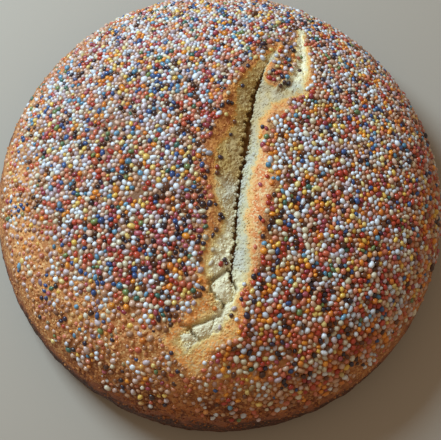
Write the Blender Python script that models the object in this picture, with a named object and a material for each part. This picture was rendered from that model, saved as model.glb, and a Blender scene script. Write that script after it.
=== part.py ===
"""A round, domed tea loaf with a split crown, covered in fused sugar pearls.

Frame: origin at the centre of the flat base, +Z up through the crown. The split runs
roughly along Y, from the far right shoulder to the near left one.
"""

import math
import random

import bmesh
import bpy
from mathutils import Matrix, Vector, noise

MM = 0.001

# The loaf's turned form
LOAF_RADIUS = 90 * MM
LOAF_HEIGHT = 58 * MM
RIM_HEIGHT = 9 * MM          # the dark baked rim, from the base to the foot of the dome
DOME_POWER = 2.3             # 2 would be an ellipse; more gives fuller shoulders
SWELL = 0.8 * MM             # slow unevenness of the dome
SWELL_WAVELENGTH = 38 * MM
SETTLE_SHARE = 0.8           # of the radius; from there out, swell and lips die away
# The rim below the dome: share of its height, and how far in from the loaf's radius
RIM_STEPS = ((0.62, 0.5 * MM), (0.3, 0.1 * MM), (0.0, 1.6 * MM))
TURN_STEPS = 80
DOME_RINGS = 12
RING_POWER = 0.92            # under 1 moves the rings outwards, to the steep shoulder
WELD = 0.01 * MM
SLOPE_STEP = 1 * MM          # over which a slope is measured

# The split, station by station from the far end to the near end, in millimetres:
# y, x of its bottom, reach to the left lip, reach to the right lip, depth, width of the gap
SPLIT_STATIONS = (
    (67, 31.2, 3.0, 2.2, 0.8, 0.5),
    (58, 27.4, 6.5, 3.4, 2.4, 0.9),
    (47, 18.6, 10.0, 6.5, 4.2, 1.4),
    (34, 10.4, 10.5, 10.5, 5.2, 1.9),
    (20, 7.2, 12.0, 7.0, 5.4, 2.3),
    (6, 5.9, 15.5, 8.5, 5.4, 2.2),
    (-8, 3.6, 12.2, 10.5, 5.2, 1.6),
    (-22, 2.7, 11.5, 9.0, 4.8, 1.5),
    (-34, 0.2, 11.5, 8.6, 4.2, 1.2),
    (-46, -4.0, 8.5, 8.0, 3.4, 0.9),
    (-56, -10.6, 7.5, 8.6, 2.6, 0.8),
    (-63, -18.4, 4.0, 6.0, 0.9, 0.5),
)
SPLIT_SECTIONS = 30          # cross-sections that the cutter is lofted through
GAP_DEPTH_SHARE = 1.4        # the narrow gap's depth below the open valley, in valley depths
GAP_FLOOR = 0.3              # the gap's width at its bottom, as a share of its mouth
LIP_RISE = 1.6 * MM          # the burst lips stand proud of the dome
LIP_SPREAD = 9.0 * MM
CUTTER_CLEARANCE = 12 * MM   # how far the cutter stands above the crust
CUTTER_FLARE = 1 * MM        # how much wider it is up there than at the lips

# Sugar pearls: the largest of the real ones, spread over the covered part of the crust
PEARL_COUNT = 248
PEARL_DIAMETERS = (2.1 * MM, 2.7 * MM)
PEARL_SINK = 0.18            # how far a pearl's centre lies below the crust, in radii
PEARL_TRIES = 26             # candidates drawn for each pearl; the loneliest one is kept
PEARL_EDGE = 3.0 * MM        # kept free beside the split's lips and the rim
COVER_LIMIT = 92 * MM        # beyond the loaf's edge, so covered up to the rim
COVER_FADE = 3 * MM          # over which the cover goes from full to thin, each way
BARE_REACH = 36 * MM         # how far the thinly covered part reaches in from that
BARE_BEARING = 245           # degrees; the middle of the thinly covered part
BARE_WIDTHS = (86, 63)       # degrees, clockwise and anticlockwise of that bearing
THIN_SHARE = 0.3             # of the full number of pearls, in the thinly covered part
STEEPEST = 3.0               # longest surface normal, over its height, that is evened out
SEED = 11

CRUST_COLOUR = (0.52, 0.27, 0.09, 1.0)
CRUST_ROUGHNESS = 0.6
SHARP_ANGLE = 40             # degrees, above which an edge is shaded sharp


def between(low, high, value):
    """0 at low, 1 at high, with an even slope in and out."""
    t = max(0.0, min(1.0, (value - low) / (high - low)))
    return t * t * (3 - 2 * t)


def split_at(y):
    """The split's x, left reach, right reach, depth and gap at one y, all in metres."""
    rows = SPLIT_STATIONS
    y_mm = max(rows[-1][0], min(rows[0][0], y / MM))
    i = next(i for i in range(len(rows) - 1) if y_mm >= rows[i + 1][0])
    t = (rows[i][0] - y_mm) / (rows[i][0] - rows[i + 1][0])
    before, after = rows[max(i - 1, 0)], rows[min(i + 2, len(rows) - 1)]
    values = []
    for a, b, c, d in list(zip(before, rows[i], rows[i + 1], after))[1:]:
        slopes = 2 * b, c - a, 2 * a - 5 * b + 4 * c - d, 3 * b - a - 3 * c + d
        values.append(0.5 * (slopes[0] + t * (slopes[1] + t * (slopes[2] + t * slopes[3]))) * MM)
    return values


def split_ends():
    return SPLIT_STATIONS[-1][0] * MM, SPLIT_STATIONS[0][0] * MM


def split_lean(y):
    """How far the split moves along X for each unit along Y."""
    return (split_at(y + SLOPE_STEP)[0] - split_at(y - SLOPE_STEP)[0]) / (2 * SLOPE_STEP)


def across_split(x, y):
    """How far a point is from the split, as a share of the reach to the lip on its side."""
    near, far = split_ends()
    at, left, right = split_at(y)[:3]
    across = (x - at) / math.hypot(1, split_lean(y))
    past = max(near - y, y - far, 0.0)
    reach = left if across < 0 else right
    return math.hypot(across, past) / reach, reach


def dome_height(share):
    """The plain dome's height at a share of the loaf's radius."""
    return RIM_HEIGHT + (LOAF_HEIGHT - RIM_HEIGHT) * math.sqrt(1 - share**DOME_POWER)


def crust_height(x, y):
    """The crust's height over the dome, lips included, before the split is cut."""
    share = min(1.0, math.hypot(x, y) / LOAF_RADIUS)
    settled = between(1.0, SETTLE_SHARE, share)
    height = dome_height(share)
    height += settled * SWELL * noise.noise(Vector((x, y, 0)) / SWELL_WAVELENGTH)
    shares, reach = across_split(x, y)
    outside = max(0.0, shares - 1) * reach
    return height + settled * LIP_RISE * math.exp(-((outside / LIP_SPREAD) ** 2))


def loaf_profile():
    """Radius and height, from the crown out over the dome and down the rim to the base's edge."""
    points = []
    for i in range(DOME_RINGS + 1):
        share = math.sin(0.5 * math.pi * i / DOME_RINGS) ** RING_POWER
        points.append((LOAF_RADIUS * share, dome_height(share)))
    for height_share, inset in RIM_STEPS:
        points.append((LOAF_RADIUS - inset, RIM_HEIGHT * height_share))
    return points


def turn_loaf():
    """The solid loaf: a turned profile whose dome is then swollen and lipped."""
    mesh = bmesh.new()
    profile = [mesh.verts.new((radius, 0, height)) for radius, height in loaf_profile()]
    edges = [mesh.edges.new(pair) for pair in zip(profile, profile[1:])]
    bmesh.ops.spin(
        mesh, geom=profile + edges, axis=(0, 0, 1), cent=(0, 0, 0),
        angle=2 * math.pi, steps=TURN_STEPS, use_merge=True,
    )
    bmesh.ops.remove_doubles(mesh, verts=mesh.verts, dist=WELD)
    rim = [edge for edge in mesh.edges if edge.is_boundary]
    bmesh.ops.contextual_create(mesh, geom=rim)
    for vert in mesh.verts:
        if vert.co.z > RIM_HEIGHT:
            vert.co.z = crust_height(vert.co.x, vert.co.y)
    bmesh.ops.recalc_face_normals(mesh, faces=mesh.faces)
    return finish_mesh(mesh, "loaf")


def cutter_section(y):
    """The cutter's outline at one y: from the left, over the lips and down to the gap's floor."""
    x, left, right, depth, gap = split_at(y)
    side = Vector((1, -split_lean(y), 0)).normalized()
    floor = gap * GAP_FLOOR
    bottom_level = crust_height(x, y)
    gap_level = bottom_level - depth * (1 + GAP_DEPTH_SHARE)
    outline = []
    for across, rise in (
        (-left - CUTTER_FLARE, CUTTER_CLEARANCE), (-left, 0),
        (right, 0), (right + CUTTER_FLARE, CUTTER_CLEARANCE),
    ):
        at = Vector((x, y, 0)) + side * across
        outline.append(Vector((at.x, at.y, crust_height(at.x, at.y) + rise)))
    outline[2:2] = [
        Vector((x, y, level)) + side * across for across, level in (
            (-gap / 2, bottom_level - depth), (-floor / 2, gap_level),
            (floor / 2, gap_level), (gap / 2, bottom_level - depth),
        )
    ]
    return outline


def split_cutter():
    """The open valley with a narrow gap at its bottom, lofted along the split."""
    near, far = split_ends()
    mesh = bmesh.new()
    sections = []
    for i in range(SPLIT_SECTIONS + 1):
        outline = cutter_section(near + (far - near) * i / SPLIT_SECTIONS)
        sections.append([mesh.verts.new(point) for point in outline])
    for first, second in zip(sections, sections[1:]):
        for i in range(len(first)):
            j = (i + 1) % len(first)
            mesh.faces.new((first[i], first[j], second[j], second[i]))
    mesh.faces.new(sections[0])
    mesh.faces.new(reversed(sections[-1]))
    bmesh.ops.triangulate(mesh, faces=mesh.faces)
    bmesh.ops.recalc_face_normals(mesh, faces=mesh.faces)
    return finish_mesh(mesh, "split_cutter")


def cover(x, y):
    """How likely a pearl is to lie at a point of the crust, from 0 to 1."""
    radius = math.hypot(x, y)
    shares, reach = across_split(x, y)
    if (shares - 1) * reach < PEARL_EDGE or radius > LOAF_RADIUS - PEARL_EDGE:
        return 0.0
    turned = (math.degrees(math.atan2(y, x)) - BARE_BEARING + 180) % 360 - 180
    width = BARE_WIDTHS[0] if turned < 0 else BARE_WIDTHS[1]
    limit = COVER_LIMIT - BARE_REACH * math.exp(-((turned / width) ** 2))
    thin = between(limit - COVER_FADE, limit + COVER_FADE, radius)
    return 1 - (1 - THIN_SHARE) * thin


def crust_normal(x, y):
    """The crust's normal, with a height of 1, so that its length grows with the slope."""
    rise_x = crust_height(x + SLOPE_STEP, y) - crust_height(x - SLOPE_STEP, y)
    rise_y = crust_height(x, y + SLOPE_STEP) - crust_height(x, y - SLOPE_STEP)
    return Vector((-rise_x / (2 * SLOPE_STEP), -rise_y / (2 * SLOPE_STEP), 1))


def pearl_spot(draw):
    """A random covered point of the crust, even over its sloping surface."""
    while True:
        radius = LOAF_RADIUS * math.sqrt(draw.random())
        turn = draw.uniform(0, 2 * math.pi)
        x, y = radius * math.cos(turn), radius * math.sin(turn)
        if draw.random() > cover(x, y):
            continue
        normal = crust_normal(x, y)
        if draw.random() < normal.length / STEEPEST:
            return Vector((x, y, crust_height(x, y))), normal.normalized()


def spread_pearls():
    """Even places for the pearls: of several candidates, the one furthest from the rest."""
    draw = random.Random(SEED)
    placed = []
    for _ in range(PEARL_COUNT):
        best, most = None, -1.0
        for _ in range(PEARL_TRIES):
            spot, normal = pearl_spot(draw)
            room = min(((spot - other).length for other, *_ in placed), default=1.0)
            if room > most:
                best, most = (spot, normal), room
        placed.append((*best, draw.uniform(*PEARL_DIAMETERS), draw.uniform(0, math.pi)))
    return placed


def make_pearls():
    """One small ball for each pearl, in a collection of their own."""
    pearls = bpy.data.collections.new("pearls")
    bpy.context.scene.collection.children.link(pearls)
    for number, (spot, normal, diameter, turn) in enumerate(spread_pearls()):
        radius = diameter / 2
        mesh = bmesh.new()
        bmesh.ops.create_icosphere(
            mesh, subdivisions=1, radius=radius,
            matrix=Matrix.Translation(spot - normal * radius * PEARL_SINK)
            @ normal.to_track_quat("Z", "Y").to_matrix().to_4x4()
            @ Matrix.Rotation(turn, 4, "Z"),
        )
        data = bpy.data.meshes.new(f"pearl_{number}")
        mesh.to_mesh(data)
        mesh.free()
        pearls.objects.link(bpy.data.objects.new(data.name, data))
    return pearls


def finish_mesh(mesh, name):
    data = bpy.data.meshes.new(name)
    mesh.to_mesh(data)
    mesh.free()
    made = bpy.data.objects.new(name, data)
    bpy.context.scene.collection.objects.link(made)
    return made


def apply_boolean(target, operation, solver, cutter=None, collection=None):
    """Cuts or joins at once, so that the objects used for it can go."""
    modifier = target.modifiers.new(operation.lower(), "BOOLEAN")
    modifier.operation = operation
    modifier.solver = solver
    if collection:
        modifier.operand_type = "COLLECTION"
        modifier.collection = collection
    else:
        modifier.object = cutter
    bpy.context.view_layer.update()
    graph = bpy.context.evaluated_depsgraph_get()
    result = bpy.data.meshes.new_from_object(target.evaluated_get(graph))
    target.modifiers.clear()
    target.data = result
    for used in list(collection.objects) if collection else [cutter]:
        bpy.data.objects.remove(used)


def crust_material():
    material = bpy.data.materials.new("crust")
    material.use_nodes = True
    shader = material.node_tree.nodes["Principled BSDF"]
    shader.inputs["Base Color"].default_value = CRUST_COLOUR
    shader.inputs["Roughness"].default_value = CRUST_ROUGHNESS
    shader.inputs["Metallic"].default_value = 0.0
    return material


def main():
    for old in list(bpy.data.objects):
        bpy.data.objects.remove(old)
    loaf = turn_loaf()
    apply_boolean(loaf, "DIFFERENCE", "EXACT", cutter=split_cutter())
    pearls = make_pearls()
    apply_boolean(loaf, "UNION", "MANIFOLD", collection=pearls)
    bpy.data.collections.remove(pearls)
    loaf.data.materials.clear()
    loaf.data.materials.append(crust_material())
    loaf.data.shade_smooth()
    loaf.data.set_sharp_from_angle(angle=math.radians(SHARP_ANGLE))


main()
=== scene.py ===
import math

import bmesh
import bpy
import numpy as np
from mathutils import Matrix, Vector, noise
from mathutils.kdtree import KDTree


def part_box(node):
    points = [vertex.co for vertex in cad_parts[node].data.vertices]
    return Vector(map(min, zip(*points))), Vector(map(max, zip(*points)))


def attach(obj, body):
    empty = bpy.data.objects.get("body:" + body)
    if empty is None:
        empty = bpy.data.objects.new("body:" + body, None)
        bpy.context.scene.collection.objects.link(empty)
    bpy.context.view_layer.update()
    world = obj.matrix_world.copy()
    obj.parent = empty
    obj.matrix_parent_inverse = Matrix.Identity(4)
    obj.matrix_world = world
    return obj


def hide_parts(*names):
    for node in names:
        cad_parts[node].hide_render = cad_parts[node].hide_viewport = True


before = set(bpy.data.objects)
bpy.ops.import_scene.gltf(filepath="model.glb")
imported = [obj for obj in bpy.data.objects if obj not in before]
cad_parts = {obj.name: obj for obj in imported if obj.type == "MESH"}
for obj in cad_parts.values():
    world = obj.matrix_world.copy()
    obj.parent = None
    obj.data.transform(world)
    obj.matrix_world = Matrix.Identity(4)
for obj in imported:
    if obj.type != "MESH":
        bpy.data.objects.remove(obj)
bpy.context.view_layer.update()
mm = 0.001
loafLow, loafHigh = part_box("loaf")
loafRadius = (loafHigh.x - loafLow.x) / 2
print("frame loaded, loaf radius", round(loafRadius, 4))


# Camera and colour

viewFrom = {
    "elevation": 77.0,      # degrees above the table
    "bearing": 255.0,       # degrees anticlockwise from +X, towards the camera
    "distance": 455 * mm,   # from the point aimed at
    "aim": (-1.1 * mm, -8.6 * mm, 25 * mm),
    "lens": 94.06,          # on a sensor 36 mm wide
    "sensor": 36.0,
}


def makeCamera():
    elevation, bearing = math.radians(viewFrom["elevation"]), math.radians(viewFrom["bearing"])
    back = Vector((math.cos(elevation) * math.cos(bearing), math.cos(elevation) * math.sin(bearing),
                   math.sin(elevation)))
    up = Vector((0, 1, 0))
    up = (up - up.dot(back) * back).normalized()
    right = up.cross(back)
    turn = Matrix((right, up, back)).transposed().to_4x4()
    data = bpy.data.cameras.new("camera")
    data.lens = viewFrom["lens"]
    data.sensor_width = viewFrom["sensor"]
    data.clip_start = 0.01
    camera = bpy.data.objects.new("camera", data)
    camera.matrix_world = Matrix.Translation(Vector(viewFrom["aim"]) + back * viewFrom["distance"]) @ turn
    bpy.context.scene.collection.objects.link(camera)
    bpy.context.scene.camera = camera


makeCamera()
bpy.context.scene.view_settings.view_transform = "Standard"
print("camera placed")


# Small helpers for shapes

def between(lowEdge, highEdge, value):
    # 0 at lowEdge, 1 at highEdge, with an even slope in and out
    t = np.clip((value - lowEdge) / (highEdge - lowEdge), 0, 1)
    return t * t * (3 - 2 * t)


def noiseAt(x, y, size, shift=0.0, z=0.0):
    # smooth random numbers, about -0.5 to 0.5, with lumps of the given size
    places = np.stack(np.broadcast_arrays(x / size + shift, y / size - 2 * shift, z / size + shift), -1)
    return np.array([noise.noise(place) for place in places.reshape(-1, 3).tolist()])


def unit(rows):
    # every row made 1 long
    return rows / np.linalg.norm(rows, axis=1)[:, None]


def toLinear(colour):
    # a colour as it looks on screen, as the shaders want it
    return tuple(c / 12.92 if c < 0.04 else ((c + 0.055) / 1.055) ** 2.4 for c in colour) + (1.0,)


def setMarks(mesh, marks):
    # numbers at each corner of the mesh, which the shaders read
    for name, values in marks.items():
        attribute = mesh.attributes.new(name, "FLOAT", "POINT")
        attribute.data.foreach_set("value", values.astype(np.float32))


def addObject(mesh, name):
    made = bpy.data.objects.new(name, mesh)
    bpy.context.scene.collection.objects.link(made)
    return made


# The loaf's form: a dome on a low rim, with a burst split and a side branch in its crown

loafForm = {
    "crown": 58 * mm,        # height of the dome, without its lips and the pearls
    "rimHeight": 9 * mm,
    "domePower": 2.3,        # 2 is half an ellipse, more has a flatter crown and steeper sides
    "swell": 0.8 * mm,       # slow unevenness of the crust
    "swellSize": 38 * mm,
    "settleShare": 0.8,      # radius, in shares, from where swell and lips fade towards the edge
    "lipRise": 1.6 * mm,
    "lipSpread": 9 * mm,
    # down the rim: share of its height, and inset
    "rimSteps": ((0.62, 0.5 * mm), (0.3, 0.1 * mm), (0.06, 0.7 * mm), (0.0, 1.6 * mm)),
    "baseWeight": 0.12,      # how finely the underside is divided, against the rest
}

# Stations along each valley, in mm: y, x of the bottom, reach to the left lip and to the right
# one, depth, width of the gap, reach of the torn crumb to the left and to the right
splitRows = (
    (56, 20.2, 1.5, 1.2, 0.4, 0.0, 0.4, 0.3),
    (51, 17.4, 4.0, 1.8, 1.2, 0.3, 1.6, 0.5),
    (45, 14.0, 5.5, 2.2, 2.2, 0.9, 3.2, 0.9),
    (39, 12.0, 8.2, 3.0, 3.6, 2.2, 5.4, 1.9),
    (34, 10.4, 10.4, 12.5, 4.8, 2.3, 6.8, 8.4),
    (28, 9.0, 10.6, 10.0, 5.4, 2.5, 5.2, 5.4),
    (21, 7.6, 12.2, 7.2, 5.4, 3.0, 4.6, 2.9),
    (14, 6.8, 14.6, 6.4, 5.4, 3.5, 8.6, 4.0),
    (8, 5.9, 14.4, 8.4, 5.2, 2.5, 9.6, 4.0),
    (1, 4.6, 12.6, 11.0, 5.0, 2.0, 8.4, 3.8),
    (-8, 3.4, 9.4, 10.8, 4.8, 2.0, 6.6, 3.3),
    (-17, 2.8, 10.3, 8.6, 4.6, 1.9, 4.6, 3.4),
    (-26, 2.1, 11.2, 8.8, 4.0, 1.8, 7.8, 4.6),
    (-35, 1.0, 11.4, 8.0, 3.2, 1.7, 8.2, 5.4),
    (-43, 0.6, 10.9, 5.2, 2.2, 0.4, 4.6, 3.0),
    (-50, -2.4, 10.4, 6.6, 1.7, 0.2, 3.2, 2.8),
    (-57, -8.6, 9.2, 8.4, 1.2, 0.0, 5.4, 2.6),
    (-63, -14.6, 4.6, 7.6, 0.5, 0.0, 1.4, 0.8),
)
branchRows = (
    (65, 30.4, 1.2, 1.2, 0.3, 0.0, 0.9, 0.7),
    (59, 29.2, 2.0, 2.2, 0.7, 0.0, 1.5, 1.1),
    (53, 29.2, 2.6, 3.2, 1.0, 0.0, 2.0, 1.8),
    (47, 28.4, 3.2, 3.6, 1.2, 0.0, 2.6, 2.2),
    (41, 25.8, 2.6, 5.0, 1.4, 0.0, 2.4, 3.0),
    (36, 21.5, 3.0, 7.0, 1.6, 0.0, 3.0, 4.4),
    (32, 16.5, 3.5, 7.5, 1.8, 0.0, 3.5, 4.4),
)


def rowsAt(rows, y):
    # every column of a table of stations at each y, on a smooth curve through them
    table = np.array(rows, float)[::-1]
    stations = table[:, 0] * mm
    y = np.clip(y, stations[0], stations[-1])
    first = np.clip(np.searchsorted(stations, y, side="right") - 1, 0, len(stations) - 2)
    t = ((y - stations[first]) / (stations[first + 1] - stations[first]))[:, None]
    a, b, c, d = (table[np.clip(first + step, 0, len(stations) - 1), 1:] for step in (-1, 0, 1, 2))
    curve = 2 * b + t * (c - a + t * (2 * a - 5 * b + 4 * c - d + t * (3 * b - a - 3 * c + d)))
    return (0.5 * curve * mm).T


def acrossValley(rows, x, y):
    # signed distance across the valley, and distance from its bottom in shares of the reach
    step = 1 * mm
    bottom, left, right, depth, gap, crumbLeft, crumbRight = rowsAt(rows, y)
    lean = (rowsAt(rows, y + step)[0] - rowsAt(rows, y - step)[0]) / (2 * step)
    across = (x - bottom) / np.hypot(1, lean)
    past = np.maximum(np.maximum(rows[-1][0] * mm - y, y - rows[0][0] * mm), 0)
    reach = np.where(across < 0, left, right)
    return {
        "across": across, "share": np.hypot(across, past) / reach, "reach": reach, "depth": depth,
        "gap": gap, "crumb": np.where(across < 0, crumbLeft, crumbRight), "past": past,
    }


def valleysAt(x, y):
    # the split, then its side branch
    return acrossValley(splitRows, x, y), acrossValley(branchRows, x, y)


def shareAt(x, y):
    # distance from the loaf's middle, in shares of its radius
    return np.hypot(x, y) / loafRadius


def domeHeight(share):
    rim, crown = loafForm["rimHeight"], loafForm["crown"]
    return rim + (crown - rim) * np.sqrt(1 - np.clip(share, 0, 1) ** loafForm["domePower"])


def pastLip(valleys):
    # distance from the nearest lip, negative inside the valleys
    return np.minimum(*((v["share"] - 1) * v["reach"] for v in valleys))


def lipDistance(valleys):
    return np.maximum(0, pastLip(valleys))


def lipPart(valleys, reach):
    # 1 at the lips, less with distance from them
    return np.exp(-((lipDistance(valleys) / reach) ** 2))


def crustRise(x, y, valleys):
    # swell and lips, over the plain dome
    share = shareAt(x, y)
    settled = between(1.0, loafForm["settleShare"], share)
    swell = loafForm["swell"] * noiseAt(x, y, loafForm["swellSize"])
    lips = loafForm["lipRise"] * lipPart(valleys, loafForm["lipSpread"])
    return settled * (swell + lips)


# The tear inside the valleys

tear = {
    "leftPower": 1.1,          # 1 is a straight wall, more is a rounded lip
    "rightPower": 1.5,
    "inside": (1.05, 0.85),    # where lumps on crust start and are in full, in shares of the reach
    "toasted": (1.3, 0.95),    # the same for toasted crust
    "gapShare": 0.55,          # depth of the gap below the valley, in valley depths
    "gapWall": 0.5 * mm,
    "gapOpens": (0.2 * mm, 0.9 * mm),     # widths at which the gap starts and is in full
    "teeth": 2.0 * mm,         # how far the torn edges stand out into the gap
    "teethSize": 1.4 * mm,
    "teethSquash": 0.4,        # less than 1 draws their pattern out across the gap
    "slimTeeth": 0.75,         # most that they stand out where the gap is narrow, in gap widths
    "calmer": 0.5,             # teeth of the right edge, against the left
    "crumbBlur": 3.0 * mm,     # width of the change from crumb to toasted crust
    "crumbWander": 1.6 * mm,   # how far that change strays
    "lumps": ((4.2 * mm, 0.68 * mm), (1.7 * mm, 0.41 * mm), (0.8 * mm, 0.16 * mm)),     # sizes and rises
    "crustLumps": 0.35,        # share of them on the crust inside a valley
    "poreSize": 1.5 * mm,
    "poreDepth": 0.4 * mm,
    "pores": (0.27, 0.5),      # noise at which a pore starts and is in full
    "moundEdge": (1.12, 0.86),    # where a mound of crumb starts and is in full, in half widths
    "moundLumps": 0.9,         # share of the lumps on it
    "creaseWobble": 0.35,      # how far creases stray, in mm
    "edgeGrains": 0.9 * mm,    # how far from the gap's edges crumbs lie thickest
}

# Creases in the near half, where the tear breaks up: points in mm, then width and depth
creases = (
    (((-0.2, -33.3), (1.0, -35.1), (1.3, -37.4), (2.3, -39.0), (3.0, -41.0)), 0.8, 1.8),
    (((-7.2, -38.6), (-5.2, -37.0), (-2.7, -35.8), (-1.0, -34.2)), 1.5, 1.1),
    (((-7.0, -39.2), (-6.0, -41.6), (-4.6, -43.2), (-2.8, -44.6), (-1.4, -46.1)), 0.7, 1.0),
    (((-1.4, -46.1), (-1.5, -48.2), (-2.6, -50.1), (-5.4, -51.0), (-7.7, -52.0), (-10.6, -53.4),
      (-14.5, -54.2), (-17.0, -53.8)), 1.1, 0.9),
    (((-14.7, -55.6), (-13.7, -54.6), (-12.8, -56.4), (-11.6, -57.6), (-9.9, -59.0)), 0.9, 1.2),
    (((-4.9, -51.6), (-5.4, -53.6), (-6.6, -55.6)), 0.5, 0.6),
    (((0.4, -45.5), (1.8, -44.7), (3.2, -41.4)), 0.6, 0.5),
)
# Mounds of crumb in the valley, in mm: x, y, half width, half length, depth of the top below the
# crust, and fall from there to the edge
crumbMounds = (
    (-2.3, -40.6, 4.6, 5.2, 1.3, 1.3),
    (-9.0, -55.5, 4.2, 2.6, 0.5, 0.9),
    (-14.9, -58.0, 2.7, 1.6, 0.3, 0.5),
    (-3.6, -54.6, 1.6, 1.9, 0.4, 0.5),
)

# Stretches along y over which the tones of the tear change
tearTones = {
    "darkLeft": (-38 * mm, 0 * mm),      # where the left lip takes on its darker tones: scorched crust, and painted shade on its torn crumb
    "darkRight": (8 * mm, 24 * mm),      # and the right one,
    "rightShare": 0.6,                   # by this share
    "lowLeft": (8 * mm, -28 * mm),       # where the brighter tones of the low end begin, on the left; they are its paler crumb, lifted further by painted light
    "lowRight": (-30 * mm, -43 * mm),
    "lowBranch": (36 * mm, 42 * mm),     # and in the side branch,
    "branchShare": 0.9,                  # by this share
}


def pathDistance(points, x, y):
    # distance of each place from a line through the points, all in mm
    nearest = np.full(len(x), 1e3)
    for (ax, ay), (bx, by) in zip(points, points[1:]):
        wide, long = bx - ax, by - ay
        along = np.clip(((x - ax) * wide + (y - ay) * long) / (wide**2 + long**2), 0, 1)
        nearest = np.minimum(nearest, np.hypot(x - ax - along * wide, y - ay - along * long))
    return nearest


def valleyDrop(valley):
    # how far an open valley lies below the crust
    inner = valley["gap"] / 2
    out = np.clip((valley["share"] * valley["reach"] - inner) / (valley["reach"] - inner), 0, 1)
    power = np.where(valley["across"] < 0, tear["leftPower"], tear["rightPower"])
    return valley["depth"] * (1 - out) ** power


def gapMask(valley, x, y):
    # 1 inside the narrow gap, with torn teeth on its edges
    size, across = tear["teethSize"], tear["teethSquash"] * x
    ragged = noiseAt(across, y, size, 3.1) + 0.6 * noiseAt(across, y, size / 2.3, 7.7)
    calm = noiseAt(across, y, size / 1.4, 12.9) + 0.5 * noiseAt(across, y, size / 3, 17.3)
    opened = between(*tear["gapOpens"], valley["gap"])
    teeth = np.minimum(tear["teeth"], tear["slimTeeth"] * valley["gap"]) * opened
    edge = valley["gap"] / 2 + np.where(valley["across"] < 0, ragged, tear["calmer"] * calm) * teeth
    inside = edge - np.hypot(valley["across"], valley["past"])
    return between(0, tear["gapWall"], inside) * opened


def crumbMask(valley, x, y):
    # 1 on bare crumb, 0 on the crust beside it
    wander = tear["crumbWander"] * (noiseAt(x, y, 4.5 * mm, 5.2) + 0.6 * noiseAt(x, y, 1.6 * mm, 8.4))
    out = np.hypot(valley["across"], 2 * valley["past"])
    blur = np.minimum(tear["crumbBlur"], 0.4 * valley["reach"])
    mask = np.clip(0.5 - (out + wander - valley["crumb"]) / (2 * blur), 0, 1)
    return mask * between(1.1, 0.8, valley["share"])


def raiseMounds(x, y, height, crumb, rough):
    # each mound takes the place of the valley's own height
    ragged = 0.5 * noiseAt(x, y, 2.2 * mm, 51.0) + 0.3 * noiseAt(x, y, 0.9 * mm, 53.0)
    for cx, cy, wide, long, top, fall in crumbMounds:
        out = np.hypot((x / mm - cx) / wide, (y / mm - cy) / long)
        mound = between(*tear["moundEdge"], out + ragged)
        crown = tear["moundLumps"] * rough - (top + fall * np.minimum(out, 1.2) ** 2) * mm
        height += mound * (crown - height)
        crumb = np.maximum(crumb, mound)
    return height, crumb


def cutCreases(x, y, height):
    wobble = tear["creaseWobble"] * noiseAt(x, y, 1.3 * mm, 41.0)
    crease = np.zeros(len(x))
    for points, width, depth in creases:
        line = between(width, 0.15 * width, pathDistance(points, x / mm, y / mm) + wobble)
        height -= line * depth * mm
        crease = np.maximum(crease, line * min(1, depth / 1.5))
    return height, crease


def tonesOfTear(y, main, branch):
    # how much of the darker tones of the lips (scorch and painted shade) and of the brighter ones of the low
    # end (its paler crumb, partly painted light) shows
    left = between(1 * mm, -1 * mm, main["across"]) * between(1.7, 1.4, main["share"])
    right = between(0, 2 * mm, main["across"]) * between(1.4, 1.0, main["share"])
    dark = left * between(*tearTones["darkLeft"], y)
    dark += tearTones["rightShare"] * right * between(*tearTones["darkRight"], y)
    lowLeft, lowRight = between(*tearTones["lowLeft"], y), between(*tearTones["lowRight"], y)
    lowBranch = between(1.2, 0.8, branch["share"]) * between(*tearTones["lowBranch"], y)
    low = np.where(main["across"] < 0, lowLeft, lowRight)
    return dark, np.maximum(low, tearTones["branchShare"] * lowBranch)


def tearRelief(x, y, valleys):
    # heights to add inside the valleys, and where crumb, toasted crust and the gap show
    main, branch = valleys
    share = np.minimum(main["share"], branch["share"])
    crumb = np.maximum(crumbMask(main, x, y), crumbMask(branch, x, y))
    gap = gapMask(main, x, y)
    height = -np.maximum(valleyDrop(main), valleyDrop(branch)) - gap * main["depth"] * tear["gapShare"]
    rough = np.zeros(len(x))
    for number, (size, rise) in enumerate(tear["lumps"]):
        rough += rise * noiseAt(x, y, size, 20 + number)
    height += rough * np.maximum(crumb, tear["crustLumps"] * between(*tear["inside"], share)) * (1 - gap)
    pores = between(*tear["pores"], noiseAt(x, y, tear["poreSize"], 31.0))
    height -= tear["poreDepth"] * pores * crumb
    height, crumb = raiseMounds(x, y, height, crumb, rough)
    height, crease = cutCreases(x, y, height)
    left, low = tonesOfTear(y, main, branch)
    toast = between(*tear["toasted"], share)
    return {
        "height": height, "crumb": crumb, "toast": toast, "gap": gap, "crease": crease,
        "scorchAndShade": left, "lowEnd": low,
    }


# The bare crust, where the coat of pearls is thin

coverForm = {
    "limit": 95 * mm,         # radius beyond which the coat is thin
    "reach": 35 * mm,         # how much further in it is thin on one side,
    "bearing": 245,           # which side,
    "widths": (86, 63),       # and how wide that is clockwise and anticlockwise, in degrees
    "wander": 7 * mm,         # how far the border strays
    "fade": 8 * mm,
    "thin": 0.57,             # share of the full number of pearls there, at its barest
    "thinAside": 0.28,        # and how much more away from that
    "edge": 0.6 * mm,         # kept free beside the lips
    "edgeWander": 3.4 * mm,   # how far that edge strays
    "rimFade": (0.86, 0.94),  # radii, in shares, between which they thin out on the near side,
    "rimThin": 0.75,          # to this share,
    "bottomThin": 0.48,       # and to this one at the bottom
    "rimEnd": (0.945, 0.978), "rimLast": 0.01,     # where they end there, and what share stays
    "farEnd": (0.945, 0.985), "farLast": 0.3,      # the same on the far side
}

# Sides of the loaf, in degrees: bearing, half width, and half width of the part in full
loafSides = {
    "near": (240, 150, 90),
    "bottom": (266, 75, 10),
    "far": (122, 66, 34),
    "barest": (226, 65, 15),
}


def sidePart(side, x, y):
    # 1 on one side of the loaf, 0 on the other
    bearing, outer, inner = loafSides[side]
    turned = (np.degrees(np.arctan2(y, x)) - bearing + 180) % 360 - 180
    return between(outer, inner, np.abs(turned))


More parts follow.
